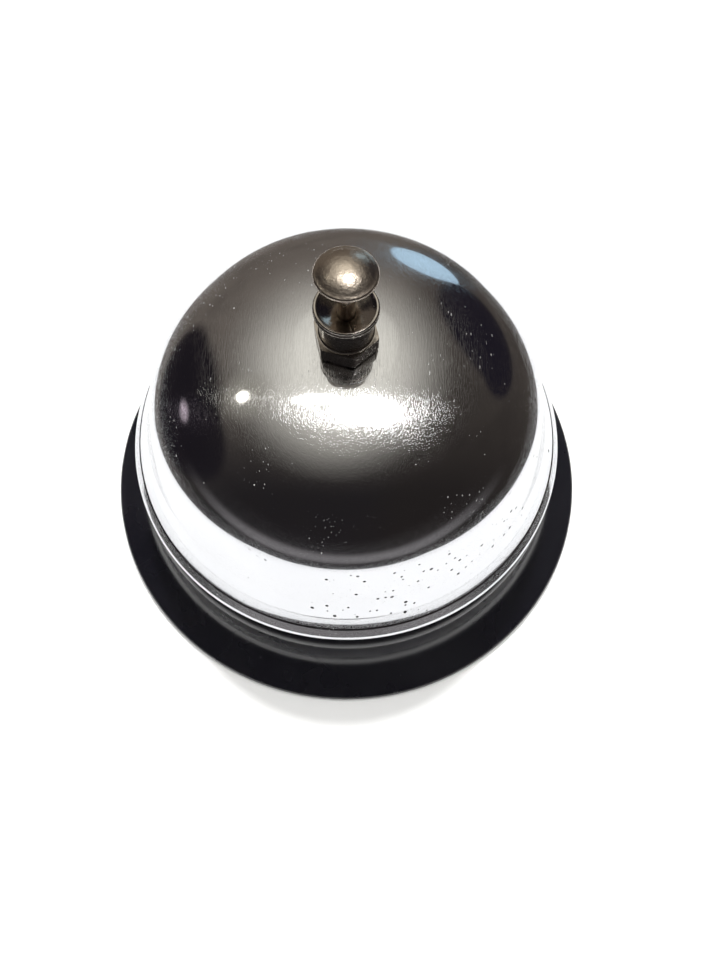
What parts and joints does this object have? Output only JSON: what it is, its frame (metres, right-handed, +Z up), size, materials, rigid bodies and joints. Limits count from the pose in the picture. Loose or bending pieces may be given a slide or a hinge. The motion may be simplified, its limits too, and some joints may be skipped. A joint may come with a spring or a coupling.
{
  "type": "service bell",
  "caption": "Counter service bell: chromed steel gong on a black pressed base, sprung push button on top, pivoted hammer inside.",
  "frame": {"origin": "on the table, under the centre of the round base", "axes": "+Z up along the plunger's axis; the hammer's arm points along +Y and its pivot lies along X"},
  "size_m": [0.085, 0.085, 0.0615],
  "materials": {
    "black_enamel": "gloss black stove enamel on pressed steel",
    "foot_rubber": "matt moulded rubber",
    "zinc_plate": "bright zinc plate with fine draw marks",
    "rivet_steel": "bare steel, slightly dull",
    "bumper_rubber": "soft matt rubber",
    "post_brass": "machined brass",
    "spring_steel": "oiled spring steel",
    "fibre_washer": "red vulcanised fibre",
    "gong_chrome": "polished chrome plate with fine scratches and pits",
    "nickel_die_cast": "nickel-plated die casting, slightly uneven",
    "nickel_turned": "bright nickel plate on turned steel",
    "lever_steel": "blanked cold-rolled steel",
    "clapper_brass": "turned brass"
  },
  "bodies": {
    "root": {"base_shell": "black_enamel", "foot_ring": "foot_rubber", "striker_frame": "zinc_plate", "frame_rivets": "rivet_steel", "hammer_bumper": "bumper_rubber", "centre_post": "post_brass", "post_lock_washer": "spring_steel", "post_lock_nut": "zinc_plate", "gong_support_nut": "zinc_plate", "gong_washer": "fibre_washer", "gong": "gong_chrome", "guide_nut": "nickel_die_cast", "spring_seat": "spring_steel", "return_spring": "spring_steel", "pivot_pin": "rivet_steel", "pin_clip": "spring_steel", "pivot_spacers": "post_brass"},
    "plunger": {"plunger_button": "nickel_turned", "plunger_rod": "nickel_turned", "spring_retainer": "rivet_steel"},
    "hammer": {"hammer_lever": "lever_steel", "clapper": "clapper_brass", "clapper_rivet": "rivet_steel"}
  },
  "joints": [
    {"name": "button_press", "type": "slide", "parent": "root", "child": "plunger", "axis": [0, 0, -1], "range_m": [0, 0.00375], "stiffness_N_per_m": 350, "springref_m": -0.003, "deforming": ["return_spring"]},
    {"name": "hammer_swing", "type": "hinge", "parent": "root", "child": "hammer", "pos_m": [0, 0.007, 0.025], "axis": [1, 0, 0], "range_deg": [0, 30.5]}
  ],
  "couplings": [
    {"joint": "hammer_swing", "follows": "button_press", "rad_per_m": 139.63}
  ]
}
